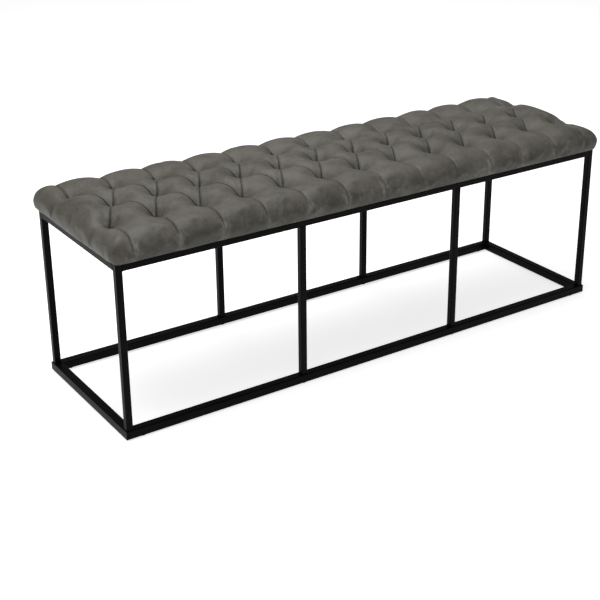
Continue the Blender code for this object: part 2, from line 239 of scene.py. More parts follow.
@dataclass(frozen=True)
class DistressedLeather:
    """Grey leather: soft blotches, painted shade in the folds and round the tufts, worn paler in patches with a
    painted highlight where it bulges, and a fine grain.
    """

    name: str = "distressed_grey_leather"
    dark: Colour = (0.043, 0.039, 0.030)
    mid: Colour = (0.078, 0.072, 0.059)
    pale: Colour = (0.112, 0.105, 0.089)
    # Paler colour for worn leather, and for the painted highlight along the shoulder and on the pleats' lips.
    rubbed_and_sheen: Colour = (0.215, 0.205, 0.178)
    olive: Colour = (0.062, 0.059, 0.037)
    # Colour of the painted shade in the folds, pleats and tuft pits, and low on the sides.
    fold: Colour = (0.010, 0.009, 0.007)
    roughness: float = 0.50
    grain_depth: float = 0.00022
    line_width: float = 0.0011
    line_depth: float = 0.0011

    def build(self) -> bpy.types.Material:
        """Makes the material."""
        graph = Graph(self.name)
        place = graph.place()
        names = ("fold_gap", "pleat_gap", "tuft_gap", "roll", "sheen_band")
        fold_gap, pleat_gap, tuft_gap, roll, sheen_band = (graph.attribute(name) for name in names)
        height = graph.axis(place, "Z")
        wander = (graph.noise(place, 160.0, 3.0, 0.6) - 0.5) * 0.0008
        fold_line = 1.0 - (fold_gap + wander).between(0.0, self.line_width)
        pleat_line = 1.0 - (pleat_gap + wander * 0.5).between(0.0, self.line_width * 0.8)
        blotch = graph.noise(place, 30.0, 5.0, 0.62)
        colour = self._mottled(graph, place, height, blotch, roll)
        streaks = graph.noise(graph.scaled(place, (1.0, 1.0, 0.3)), 95.0, 5.0, 0.68).between(0.40, 0.70)
        # Paler where worn, with a painted highlight along the shoulder.
        rub_and_sheen = self._rub_and_sheen(graph, place, pleat_gap, roll, sheen_band) * (streaks * 0.8 + 0.2)
        # Painted highlight on each pleat's raised lip over the roll.
        lip = (1.0 - (pleat_gap - 0.0022).between(0.0, 0.0012)) * pleat_gap.between(0.0008, 0.0016) * roll * streaks
        colour = graph.mix(rub_and_sheen + lip * 0.60, colour, self.rubbed_and_sheen)
        # Painted shade: dark folds, pleats and pits round the tufts, and darker low on the sides.
        colour = graph.mix(self._shade(graph, height, fold_gap, tuft_gap, fold_line, pleat_line), colour, self.fold)
        return graph.finish(
            Base_Color=colour,
            Roughness=(self.roughness - 0.10) + blotch * 0.22 - rub_and_sheen * 0.10,
            Normal=self._relief(graph, place, fold_line + pleat_line * 0.7),
            Specular_IOR_Level=0.32,
        )

    def _mottled(self, graph: Graph, place: Socket, height: Socket, blotch: Socket, roll: Socket) -> Socket:
        """The dyed colour: calm on top, blotchier on the roll as wear and darker there as painted shade, and olive
        low on the left end.

        Args:
            graph: the material's tree.
            place: the point in the bench's coordinates.
            height: its height in metres.
            blotch: noise of the size of a blotch.
            roll: how far the point lies over the roll, from 0 to 1.

        Returns:
            The colour.
        """
        cloud = graph.noise(place, 7.0, 2.0)
        speck = graph.noise(place, 230.0, 5.0, 0.72)
        tone = cloud * 0.28 + blotch * 0.42 + speck * 0.30
        stops = [(0.28, self.dark), (0.50, self.mid), (0.74, self.pale)]
        calm = graph.ramp((tone - 0.5) * 1.7 + 0.56, stops)
        # The roll's colour: blotchier wear, and darker as painted shade.
        worn_and_shaded = graph.ramp((tone - 0.5) * 4.8 + 0.33, stops)
        left_end = (0.0 - graph.axis(place, "X")).between(0.62, 0.655)
        low_end = left_end * (0.452 - height).between(0.0, 0.028)
        tint = low_end * (graph.noise(place, 11.0, 2.0).between(0.35, 0.65) * 0.6 + 0.4)
        return graph.mix(tint * 0.75, graph.mix(roll * 0.85, calm, worn_and_shaded), self.olive)

    @staticmethod
    def _rub_and_sheen(graph: Graph, place: Socket, pleat_gap: Socket, roll: Socket, sheen_band: Socket) -> Socket:
        """How much the colour turns paler: worn in patches beside the pleats, and a painted highlight in patches and
        scuffs along the shoulder.
        """
        patches = graph.noise(place, 19.0, 3.0).between(0.40, 0.62)
        beside = pleat_gap.between(0.0006, 0.003) * (1.0 - pleat_gap.between(0.004, 0.020))
        scuffs = graph.noise(place, 45.0, 3.0).between(0.50, 0.70)
        return (roll + sheen_band) * beside * patches * 0.6 + sheen_band * (patches * 0.35 + scuffs * 0.35)

    @staticmethod
    def _shade(
        graph: Graph, height: Socket, fold_gap: Socket, tuft_gap: Socket, fold_line: Socket, pleat_line: Socket
    ) -> Socket:
        """How much painted shade darkens the colour: in the folds and pleats, round the tufts and low on the sides.
        """
        shade = fold_line * 0.85 + (1.0 - fold_gap.between(0.0, 0.006)) * 0.12
        shade = shade + (1.0 - tuft_gap.between(0.002, 0.031)) * 0.50 + (1.0 - tuft_gap.between(0.002, 0.011)) * 0.35
        # Painted shade: darker low on the sides.
        shade = shade + (0.436 - height).between(0.0, 0.036) * 0.26
        deepest = {"operation": "MAXIMUM", "use_clamp": True}
        return graph.add("ShaderNodeMath", deepest, {0: shade, 1: pleat_line * 0.7})

    def _relief(self, graph: Graph, place: Socket, groove: Socket) -> Socket:
        """The grain, with the folds' grooves carved into it."""
        pebble = graph.cells(place, 560.0)
        pores = graph.noise(place, 1500.0, 2.0)
        crinkle = graph.noise(graph.scaled(place, (1.0, 0.6, 1.0)), 150.0, 5.0, 0.66)
        fine = graph.bump(pebble * 0.7 + pores * 0.3 + crinkle * 4.0, self.grain_depth)
        return graph.bump(1.0 - groove, self.line_depth, fine)


@dataclass(frozen=True)
class PowderCoat:
    """Satin black powder coat with a fine orange peel."""

    name: str = "satin_black_powder_coat"
    black: Colour = (0.0010, 0.0010, 0.0011)
    dusty: Colour = (0.0022, 0.0022, 0.0024)
    roughness: float = 0.38

    def build(self) -> bpy.types.Material:
        """Makes the material."""
        graph = Graph(self.name)
        place = graph.place()
        cloud = graph.noise(place, 22.0, 3.0)
        peel = graph.noise(place, 950.0, 2.0)
        return graph.finish(
            Base_Color=graph.mix(cloud.between(0.35, 0.7), self.black, self.dusty),
            Roughness=cloud * 0.12 + (self.roughness - 0.06),
            Normal=graph.bump(peel, 0.00004),
            Specular_IOR_Level=0.045,
        )


@dataclass(frozen=True)
class ZincPlate:
    """Bright zinc-plated steel, slightly uneven."""

    name: str = "zinc_plate"
    bright: Colour = (0.62, 0.63, 0.64)
    dull: Colour = (0.42, 0.43, 0.45)
    roughness: float = 0.28

    def build(self) -> bpy.types.Material:
        """Makes the material."""
        graph = Graph(self.name)
        place = graph.place()
        cloud = graph.noise(place, 420.0, 4.0, 0.6)
        return graph.finish(
            Base_Color=graph.mix(cloud.between(0.3, 0.7), self.dull, self.bright),
            Roughness=cloud * 0.18 + (self.roughness - 0.08),
            Metallic=1.0,
            Normal=graph.bump(graph.noise(place, 2600.0, 2.0), 0.00002),
        )


@dataclass(frozen=True)
class Plywood:
    """Sanded birch plywood: long grain on the faces and thin plies on the edges."""

    name: str = "birch_plywood"
    pale: Colour = (0.56, 0.39, 0.22)
    deep: Colour = (0.36, 0.22, 0.105)
    glue: Colour = (0.16, 0.09, 0.045)
    plies: float = 7.0

    def build(self) -> bpy.types.Material:
        """Makes the material."""
        graph = Graph(self.name)
        place = graph.place()
        low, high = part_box("seat_board")
        depth = (graph.axis(place, "Z") - low.z) / (high.z - low.z)
        grain = graph.noise(graph.scaled(place, (3.0, 60.0, 60.0)), 4.0, 6.0, 0.65)
        wood = graph.mix(grain.between(0.3, 0.7), self.deep, self.pale)
        ply = graph.add("ShaderNodeMath", {"operation": "FRACT"}, {0: depth * self.plies})
        seam = ply.between(0.84, 0.95) * (1.0 - ply.between(0.97, 1.0))
        return graph.finish(
            Base_Color=graph.mix(seam * 0.8, wood, self.glue),
            Roughness=0.62 + grain * 0.2,
            Normal=graph.bump(grain, 0.0002),
        )


@dataclass(frozen=True)
class BlackNylon:
    """Matt moulded nylon with a spark-eroded texture."""

    name: str = "black_nylon"
    colour: Colour = (0.014, 0.014, 0.014)

    def build(self) -> bpy.types.Material:
        """Makes the material."""
        graph = Graph(self.name)
        texture = graph.noise(graph.place(), 1800.0, 3.0)
        return graph.finish(
            Base_Color=graph.mix(texture, self.colour, tuple(1.6 * part for part in self.colour)),
            Roughness=0.5 + texture * 0.2,
            Normal=graph.bump(texture, 0.00006),
        )


@dataclass(frozen=True)
class FibreCloth:
    """Pressed or loose fibres: the cambric under the board, the batting and the waxed twine."""

    name: str
    dark: Colour
    pale: Colour
    fibre_scale: float
    stretch: tuple[float, float, float] = (1.0, 1.0, 1.0)
    depth: float = 0.0002
    roughness: float = 0.9

    def build(self) -> bpy.types.Material:
        """Makes the material."""
        graph = Graph(self.name)
        place = graph.scaled(graph.place(), self.stretch)
        fibres = graph.noise(place, self.fibre_scale, 6.0, 0.7)
        knots = graph.cells(place, self.fibre_scale * 0.6)
        height = fibres * 0.7 + knots * 0.3
        return graph.finish(
            Base_Color=graph.mix(height.between(0.25, 0.75), self.dark, self.pale),
            Roughness=(self.roughness - 0.08) + fibres * 0.1,
            Normal=graph.bump(height, self.depth),
        )


@dataclass(frozen=True)
class OpenFoam:
    """Cut face of open-cell foam."""

    name: str = "seat_foam"
    pale: Colour = (0.80, 0.72, 0.46)
    deep: Colour = (0.52, 0.43, 0.22)

    def build(self) -> bpy.types.Material:
        """Makes the material."""
        graph = Graph(self.name)
        place = graph.place()
        pores = graph.cells(place, 900.0, "DISTANCE_TO_EDGE").between(0.0, 0.22)
        cloud = graph.noise(place, 14.0, 2.0)
        body = graph.mix(cloud, self.deep, self.pale)
        return graph.finish(
            Base_Color=graph.mix(pores * 0.45, self.pale, body),
            Roughness=0.88 + cloud * 0.08,
            Normal=graph.bump(1.0 - pores, 0.0005),
        )


@dataclass(frozen=True)
class PaleFloor:
    """Seamless pale studio floor."""

    name: str = "pale_floor"
    colour: Colour = (0.80, 0.80, 0.80)
    glow: float = 0.69

    def build(self) -> bpy.types.Material:
        """Makes the material."""
        graph = Graph(self.name)
        cloud = graph.noise(graph.place(), 3.0, 2.0)
        tint = graph.mix(cloud, self.colour, tuple(min(1.0, 1.02 * part) for part in self.colour))
        return graph.finish(
            Base_Color=tint,
            Roughness=0.9 + cloud * 0.05,
            Specular_IOR_Level=0.0,
            Emission_Color=(1.0, 1.0, 1.0),
            Emission_Strength=self.glow,
        )


# Numbers


def smooth_noise(x: Numbers, y: Numbers, cell: float, seed: int) -> Numbers:
    """Smooth noise over a plane.

    Args:
        x: first coordinate of each point.
        y: second coordinate of each point.
        cell: size of the noise's cells, in metres.
        seed: which noise.

    Returns:
        A number between -1 and 1 for each point.
    """
    table = np.random.default_rng(seed).uniform(-1.0, 1.0, (256, 256))
    u, v = x / cell + 60.0, y / cell + 60.0
    column, row = np.floor(u).astype(int), np.floor(v).astype(int)
    across, up = ease(u - column), ease(v - row)
    column, row = column % 255, row % 255
    low = table[column, row] * (1 - across) + table[column + 1, row] * across
    high = table[column, row + 1] * (1 - across) + table[column + 1, row + 1] * across
    return low * (1 - up) + high * up


def ease(value: Numbers) -> Numbers:
    """Smooth step of numbers, held between 0 and 1."""
    held = np.clip(value, 0.0, 1.0)
    return held * held * (3.0 - 2.0 * held)


# Meshes


def mesh_object(name: str, points: Numbers, faces: Sequence[Sequence[int]], smooth: bool = True) -> bpy.types.Object:
    """Makes an object of points and faces.

    Args:
        name: the piece's name.
        points: N x 3 places in metres.
        faces: the points of each face.
        smooth: whether its faces are shaded smooth.

    Returns:
        The object, linked to the scene.
    """
    mesh = bpy.data.meshes.new(name)
    mesh.from_pydata(np.asarray(points, float).tolist(), [], [list(map(int, face)) for face in faces])
    mesh.validate()
    if smooth:
        mesh.shade_smooth()
    obj = bpy.data.objects.new(name, mesh)
    bpy.context.scene.collection.objects.link(obj)
    return obj


def shape_object(name: str, shape: bmesh.types.BMesh, smooth: bool = True) -> bpy.types.Object:
    """Makes an object of a shape being edited, and frees the shape.

    Args:
        name: the piece's name.
        shape: the shape.
        smooth: whether its faces are shaded smooth.

    Returns:
        The object, linked to the scene.
    """
    mesh = bpy.data.meshes.new(name)
    shape.to_mesh(mesh)
    shape.free()
    if smooth:
        mesh.shade_smooth()
    obj = bpy.data.objects.new(name, mesh)
    bpy.context.scene.collection.objects.link(obj)
    return obj


def install(obj: bpy.types.Object, finish: bpy.types.Material, replaced: Sequence[str] = ()) -> None:
    """Dresses a new piece and puts it on the bench.

    Args:
        obj: the piece.
        finish: its material.
        replaced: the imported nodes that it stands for.
    """
    obj.data.materials.clear()
    obj.data.materials.append(finish)
    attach(obj, BODY)
    if replaced:
        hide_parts(*replaced)
    LOG.info("%s: %d faces", obj.name, len(obj.data.polygons))


# The tufted seat


@dataclass(frozen=True)
class Settling:
    """Lets the leather settle as cloth that the padding pushes out and its folds hold back."""

    pressure: float = 4.0
    growth: float = 0.012
    frames: int = 20
    cap: float = 0.0045

    def moves(self, points: Numbers, held: Numbers) -> Numbers:
        """Runs the cloth.

        Args:
            points: the grid of points before it settles.
            held: how firmly each point is held, from 0 to 1.

        Returns:
            How far each point moves, in metres.
        """
        columns, rows = held.shape
        obj = mesh_object("settling_leather", points.reshape(-1, 3), grid_faces(columns, rows))
        group = obj.vertex_groups.new(name="held")
        for level in np.unique(held[held > 0]):
            group.add(np.flatnonzero(held.ravel() == level).tolist(), float(level), "REPLACE")
        cloth = obj.modifiers.new("settle", "CLOTH")
        settings = cloth.settings
        settings.quality, settings.mass, settings.air_damping = 6, 0.3, 2.0
        settings.tension_stiffness = settings.compression_stiffness = 25.0
        settings.shear_stiffness, settings.bending_stiffness = 12.0, 1.5
        settings.vertex_group_mass = "held"
        settings.use_pressure, settings.uniform_pressure_force = True, self.pressure
        settings.shrink_min = -self.growth
        settings.effector_weights.gravity = 0.0
        cloth.point_cache.frame_end = self.frames
        for frame in range(1, self.frames + 1):
            bpy.context.scene.frame_set(frame)
        settled = obj.evaluated_get(bpy.context.evaluated_depsgraph_get()).to_mesh()
        places = np.empty(points.size, np.float32)
        settled.vertices.foreach_get("co", places)
        moves = places.reshape(points.shape).astype(float) - points
        bpy.data.objects.remove(obj)
        bpy.context.scene.frame_set(1)
        length = np.linalg.norm(moves, axis=-1, keepdims=True)
        LOG.info("leather settled by up to %.1f mm, %.1f mm on average", 1000 * length.max(), 1000 * length.mean())
        return moves * np.minimum(1.0, self.cap / np.maximum(length, 1e-9))


class Depth(Enum):
    """How deep a fold lies along its run."""

    ARCH = "arched up between two tufts"
    PLEAT = "a pleat from a tuft over the front or back edge"
    SOFT = "a soft dip from an end tuft over the seat's end"
    CORNER = "a corner fold that deepens downwards"


@dataclass(frozen=True)
class Fold:
    """One straight fold of the leather, on the seat's unrolled surface."""

    start: tuple[float, float]
    end: tuple[float, float]
    depth: Depth

    def reach(self, x: Numbers, y: Numbers) -> tuple[Numbers, Numbers, Numbers, Numbers]:
        """Distance from the fold.

        Args:
            x: first unrolled coordinate of each point.
            y: second unrolled coordinate of each point.

        Returns:
            Along the fold from 0 to 1, the distance in metres, and the unit step towards the fold.
        """
        from_x, from_y = x - self.start[0], y - self.start[1]
        run_x, run_y = self.end[0] - self.start[0], self.end[1] - self.start[1]
        along = np.clip((from_x * run_x + from_y * run_y) / (run_x**2 + run_y**2), 0.0, 1.0)
        off_x, off_y = along * run_x - from_x, along * run_y - from_y
        distance = np.hypot(off_x, off_y)
        safe = np.maximum(distance, 1e-9)
        return along, distance, off_x / safe, off_y / safe

    @property
    def length(self) -> float:
        """Its length in metres."""
        return math.dist(self.start, self.end)

    @property
    def leans_back(self) -> bool:
        """Whether the cushion in front of it laps over it, as on the folds from back left to front right."""
        return (self.end[0] - self.start[0]) * (self.end[1] - self.start[1]) < 0

    @property
    def across(self) -> tuple[float, float]:
        """The unit step square to it, towards +X."""
        run_x, run_y = self.end[0] - self.start[0], self.end[1] - self.start[1]
        side = math.copysign(1 / self.length, -run_x * run_y)
        return abs(run_y) / self.length, abs(run_x) * side


@dataclass
class SeatSurface:
    """The leather's outer surface: one grid of points, wrapped over the top and down the sides.

    The core of the grid is the flat top. Rings of the grid beyond it follow the rounded side down
    to the frame and turn under. The surface sinks to its tufts and folds, and swells between them.
    """

    half_length: float
    half_depth: float
    bottom: float
    top: float
    swell: float
    pitch: float
    row: float
    end_tuft: float
    tuft_height: float
    steps: int = 22
    gather: float = 0.30
    rings_above: int = 36
    rings_under: int = 5
    swell_height: float = 0.021
    flange: float = 0.020
    crown: float = 0.009
    arch_depth: float = 0.0042
    arch_sharpness: float = 1.5
    edge_depth: float = 0.0072
    end_depth: float = 0.0018
    relax: float = 0.028
    edge_relax: float = 0.028
    lift: float = 0.0052
    bowl: float = 0.0150
    bowl_width: float = 0.026
    crease: float = 0.0024
    crease_width: float = 0.0018
    bow: float = 0.0100
    bow_width: float = 0.024
    lip: float = 0.0008
    pinch: float = 0.45
    pinch_width: float = 0.007
    folds: list[Fold] = field(default_factory=list)

    def __post_init__(self) -> None:
        """Lays out the grid, the tufts and the folds, then shapes the surface."""
        self._lay_grid()
        self._lay_tufts()
        self._lay_folds()
        self._shape()
        self._settle()

    # Grid

    def _spread(self, steps: int) -> Numbers:
        """Positions of a half pitch's steps between 0 and 1, closer together at both ends."""
        even = np.arange(steps + 1) / steps
        return even - self.gather * np.sin(2 * math.pi * even) / (2 * math.pi)

    @staticmethod
    def _beyond(count: int, core: int) -> Numbers:
        """How many lines each of a grid's lines lies outside its core."""
        return np.maximum(np.abs(np.arange(count) - (count - 1) / 2) - (core - 1) / 2, 0)

    def _lay_lines(self) -> tuple[Numbers, Numbers]:
        """Works out where the grid's lines lie on the unrolled surface.

        Returns:
            How many rings each grid point lies beyond the core, at the ends and at the front and back.
        """
        half_pitch = self._spread(self.steps)[:-1]
        halves = round(2 * self.end_tuft / (self.pitch / 2))
        core_x = np.concatenate([(k + half_pitch) * self.pitch / 2 for k in range(halves)])
        core_x = np.append(core_x, halves * self.pitch / 2) - self.end_tuft
        beyond = round((self.half_depth - 0.036 - self.row) / (self.row / self.steps))
        rows = np.concatenate([half_pitch * self.row, (1 + half_pitch[: beyond + 1]) * self.row])
        core_y = np.concatenate([-rows[:0:-1], rows])
        self.core_half = np.array([core_x[-1], core_y[-1]])
        self.arc = arc = self._section()
        self.unrolled_x = np.concatenate([core_x[0] - arc[:0:-1], core_x, core_x[-1] + arc[1:]])
        self.unrolled_y = np.concatenate([core_y[0] - arc[:0:-1], core_y, core_y[-1] + arc[1:]])
        self.x, self.y = np.meshgrid(self.unrolled_x, self.unrolled_y, indexing="ij")
        beyond_ends = self._beyond(len(self.unrolled_x), len(core_x))
        beyond_edges = self._beyond(len(self.unrolled_y), len(core_y))
        out_x, out_y = np.meshgrid(beyond_ends, beyond_edges, indexing="ij")
        return out_x, out_y

    def _lay_grid(self) -> None:
        """Works out the smooth base surface and its outward direction."""
        out_x, out_y = self._lay_lines()
        self.ring = ring = np.maximum(out_x, out_y).astype(int)
        ratio = np.minimum(out_x, out_y) / np.maximum(ring, 1)
        angle = np.where(out_x >= out_y, ratio, 2 - ratio) * math.pi / 4
        squareness = 2.6 + 5.0 * ease(self.section_reach[ring])
        cosine, sine = np.cos(angle), np.sin(angle)
        stretch = (cosine**squareness + sine**squareness) ** (-1 / squareness)
        gradient = np.hypot(cosine ** (squareness - 1), sine ** (squareness - 1))
        side_x = np.sign(self.unrolled_x)[:, None]
        side_y = np.sign(self.unrolled_y)[None, :]
        reach = np.array([self.half_length, self.half_depth]) + self.swell - self.core_half
        plan_x = np.clip(self.unrolled_x, -self.core_half[0], self.core_half[0])[:, None]
        plan_y = np.clip(self.unrolled_y, -self.core_half[1], self.core_half[1])[None, :]
        plan_x = plan_x + side_x * reach[0] * self.section_reach[ring] * cosine * stretch
        plan_y = plan_y + side_y * reach[1] * self.section_reach[ring] * sine * stretch
        self.base = np.stack([plan_x, plan_y, self.section_height[ring]], axis=-1)
        out = self.section_normal[ring]
        self.normal = np.stack(
            [
                side_x * out[..., 0] * cosine ** (squareness - 1) / gradient,
                side_y * out[..., 0] * sine ** (squareness - 1) / gradient,
                out[..., 1],
            ],
            axis=-1,
        )
        across = np.cos(np.clip(plan_y / 0.178, -1, 1) * math.pi / 2) ** 2
        ends = 1 - 0.35 * ease((np.abs(plan_x) - 0.54) / 0.11)
        self.base[..., 2] += self.crown * across * ends * np.clip(self.normal[..., 2], 0, 1) ** 2

    def _section(self) -> Numbers:
        """Works out the rounded side.

        Returns:
            The distance of each ring from the core, along the surface.
        """
        reach = self.half_length + self.swell - self.end_tuft
        rise = self.top - self.bottom - self.swell_height
        turn = np.linspace(0, math.pi / 2, 200)
        shoulder = np.stack([reach * np.sin(turn), self.top - rise * (1 - np.cos(turn))], 1)
        swell = np.stack(
            [reach - self.swell * (1 - np.cos(turn)), self.bottom + self.swell_height * (1 - np.sin(turn))], 1
        )
        tuck = np.stack([reach - self.swell - self.flange * turn / turn[-1], np.full(200, self.bottom)], 1)
        line = np.concatenate([shoulder, swell[1:], tuck[1:]])
        run = np.append(0, np.cumsum(np.hypot(*np.diff(line, axis=0).T)))
        foot = run[len(shoulder) + len(swell) - 2]
        arc = np.append(
            np.linspace(0, foot, self.rings_above + 1), np.linspace(foot, run[-1], self.rings_under + 1)[1:]
        )
        step = np.gradient(line, run, axis=0)
        normal = np.stack([-step[:, 1], step[:, 0]], 1)
        normal[len(shoulder) + len(swell) - 2 :] = (0.0, -1.0)
        self.section_reach = np.interp(arc, run, line[:, 0]) / reach
        self.section_height = np.interp(arc, run, line[:, 1])
        self.section_normal = np.stack([np.interp(arc, run, normal[:, k]) for k in range(2)], 1)
        self.section_normal /= np.linalg.norm(self.section_normal, axis=1, keepdims=True)
        return arc

    # Tufts and folds

    def _lay_tufts(self) -> None:
        """Places the three rows of tufts, the middle one shifted by half a pitch."""
        count = round(2 * self.end_tuft / self.pitch) + 1
        outer = self.pitch * np.arange(count) - self.end_tuft
        middle = outer[:-1] + self.pitch / 2
        self.rows = {-self.row: outer, 0.0: middle, self.row: outer}
        self.tufts = np.array([(x, y) for y, row in self.rows.items() for x in row])

    def _lay_folds(self) -> None:
        """Joins neighbouring tufts of two rows, and runs the outer rows' folds to the seat's edges."""
        foot = self.arc[self.rings_above]
        edge_x, edge_y = self.core_half[0] + foot, self.core_half[1] + foot
        for x in self.rows[0.0]:
            for side_x in (-1, 1):
                for side_y in (-1, 1):
                    tuft = (x + side_x * self.pitch / 2, side_y * self.row)
                    self.folds.append(Fold((x, 0.0), tuft, Depth.ARCH))
        for side_y in (-1, 1):
            for x in self.rows[self.row]:
                self.folds.append(Fold((x, side_y * self.row), (x, side_y * edge_y), Depth.PLEAT))
            for side_x in (-1, 1):
                end = side_x * self.end_tuft
                self.folds.append(Fold((end, side_y * self.row), (side_x * edge_x, side_y * self.row), Depth.SOFT))
                corner = Fold(
                    (side_x * (edge_x - 0.038), side_y * (edge_y - 0.050)),
                    (side_x * (edge_x - 0.002), side_y * (edge_y - 0.016)),
                    Depth.CORNER,
                )
                self.folds.append(corner)

    def _fold_depth(self, fold: Fold, along: Numbers, sink: Numbers) -> Numbers:
        """How far a fold lies under the smooth base.

        Args:
            fold: the fold.
            along: from 0 at its start to 1 at its end.
            sink: how deep a tuft is at each point.

        Returns:
            The depth of each point, in metres.
        """
        if fold.depth is Depth.ARCH:
            rise = (1 - np.sin(math.pi * along)) ** self.arch_sharpness
            return self.arch_depth + (sink - self.arch_depth) * rise
        run = along * fold.length
        edge, reach = (self.edge_depth, 0.021) if fold.depth is Depth.PLEAT else (self.end_depth, 0.015)
        edge = edge * (1 - ease((run - 0.05) / (fold.length - 0.05)) * 0.93)
        return edge + (sink - edge) * np.exp(-((run / reach) ** 1.15))

    @staticmethod
    def _fade(fold: Fold, along: Numbers) -> Numbers:
        """How strongly a fold shows along its run."""
        if fold.depth is Depth.ARCH:
            return np.ones_like(along)
        if fold.depth is Depth.CORNER:
            return ease(along / 0.4) * 2.2
        return (1 - ease((along - 0.70) / 0.28)) * (0.35 if fold.depth is Depth.SOFT else 1.0)

    def _lap(self, fold: Fold, along: Numbers, distance: Numbers, side: Numbers, fade: Numbers) -> Numbers:
        """How one side of a pleat or corner fold lies over the other.

        Args:
            fold: the fold.
            along: from 0 at its start to 1 at its end.
            distance: how far each point is from it.
            side: the Y part of the unit step towards it.
            fade: how strongly it shows.

        Returns:
            Extra depth of each point, in metres.
        """
        if fold.depth is Depth.PLEAT:
            lap = np.clip((self.x - fold.start[0]) / 0.0016, -1, 1) * np.exp(-((distance / 0.0045) ** 2))
            return self.lip * lap * fade * ease((along - 0.12) / 0.2)
        if fold.depth is Depth.CORNER:
            lap = np.clip(-side * math.copysign(1.0, fold.end[1]) * distance / 0.003, 0, 1)
            return -2 * self.lip * lap * np.exp(-((distance / 0.012) ** 2)) * ease(along / 0.4)
        return np.zeros_like(along)

    @staticmethod
    def _line_gap(fold: Fold, along: Numbers, distance: Numbers, ahead: Numbers) -> Numbers:
        """Distance from a fold's dark line.

        Args:
            fold: the fold.
            along: from 0 at its start to 1 at its end.
            distance: how far each point is from it.
            ahead: how far the unit step towards the fold points across it.

        Returns:
            The distance, less where the line is wide and more where it fades out, in metres.
        """
        if fold.depth is Depth.PLEAT:
            return distance * 0.55 + 0.0022 * ease((along * fold.length - 0.018) / 0.030)
        if fold.depth is Depth.ARCH:
            return distance * np.where((ahead < 0) & fold.leans_back, 0.30, 1.0)
        if fold.depth is Depth.CORNER:
            return distance * 0.40 + 0.0015 * (1 - ease(along / 0.3))
        return np.ones_like(along)

    # Shape

    def _shape(self) -> None:
        """Sinks the surface to its folds, swells it between them and pinches it along them."""
        x, y = self.x, self.y
        from_tuft = np.min([np.hypot(x - tx, y - ty) for tx, ty in self.tufts], axis=0)
        bowl = self.bowl * np.exp(-((from_tuft / self.bowl_width) ** 2))
        sink = self.base[..., 2] - self.tuft_height - self.bowl
        calm = ease(from_tuft / 0.014)
        fixed = self.ring >= self.rings_above - 1
        fold_gap, pleat_gap = np.ones_like(x), np.ones_like(x)
        depth, crease, pull_x, pull_y = (np.zeros_like(x) for _ in range(4))
        for fold in self.folds:
            along, distance, step_x, step_y = fold.reach(x, y)
            fade = self._fade(fold, along)
            if fold.depth is not Depth.CORNER:
                on_fold = distance < 1e-6
                depth = np.where(on_fold, np.maximum(depth, self._fold_depth(fold, along, sink)), depth)
                fixed |= on_fold
            amount = self.pinch * distance * np.exp(-((distance / self.pinch_width) ** 2)) * fade * calm
            pull_x += amount * step_x
            pull_y += amount * step_y
            if fold.depth is Depth.ARCH and fold.leans_back:
                bow = self.bow * np.sin(math.pi * along) * np.exp(-((distance / self.bow_width) ** 2))
                pull_x += bow * fold.across[0]
                pull_y += bow * fold.across[1]
            width = self.crease_width * (2.4 if fold.depth is Depth.CORNER else 1.0)
            crease = np.maximum(crease, fade * self.crease * np.exp(-((distance / width) ** 1.3)))
            crease += self._lap(fold, along, distance, step_y, fade)
            ahead = step_x * fold.across[0] + step_y * fold.across[1]
            fold_gap = np.minimum(fold_gap, self._line_gap(fold, along, distance, ahead))
            if fold.depth is Depth.PLEAT:
                pleat_gap = np.minimum(pleat_gap, distance + 0.003 * (1 - fade))
        self.fold_gap, self.pleat_gap, self.tuft_gap = fold_gap, pleat_gap, from_tuft
        depth = self._relaxed(depth, fixed) + bowl + crease * calm
        depth += self._wrinkles() - self._unevenness()
        self.depth = np.where(self.ring >= self.rings_above, 0.0, depth)
        tangent_x = np.gradient(self.base, axis=0) / np.gradient(x, axis=0)[..., None]
        tangent_y = np.gradient(self.base, axis=1) / np.gradient(y, axis=1)[..., None]
        hold = (1 - ease((self.ring - self.rings_above + 6) / 6))[..., None]
        self.shift = hold * (pull_x[..., None] * tangent_x + pull_y[..., None] * tangent_y)
        self.points = self.base - self.normal * self.depth[..., None] + self.shift

    def _settle(self) -> None:
        """Runs the leather as cloth on every other column of the grid, and spreads its moves over all points."""
        columns = self._kept(len(self.unrolled_x), 0, 2)
        line = np.minimum(self.fold_gap, self.pleat_gap)[columns]
        held = np.where(line < 0.0012, 0.7, 0.0)
        held = np.where(self.tuft_gap[columns] < 0.004, 1.0, held)
        held = np.where(self.ring[columns] >= self.rings_above - 3, 1.0, held)
        moves = Settling().moves(self.points[columns], held)
        weight = np.interp(np.arange(len(self.unrolled_x)), columns, np.arange(len(columns)))
        low = np.minimum(weight.astype(int), len(columns) - 2)
        share = (weight - low)[:, None, None]
        spread = moves[low] * (1 - share) + moves[low + 1] * share
        for _ in range(2):
            spread[1:-1] = (spread[:-2] + 2 * spread[1:-1] + spread[2:]) / 4
            spread[:, 1:-1] = (spread[:, :-2] + 2 * spread[:, 1:-1] + spread[:, 2:]) / 4
        spread *= (1 - ease((self.ring - self.rings_above + 4) / 3))[..., None]
        self.shift = self.shift + spread
        self.points = self.points + spread

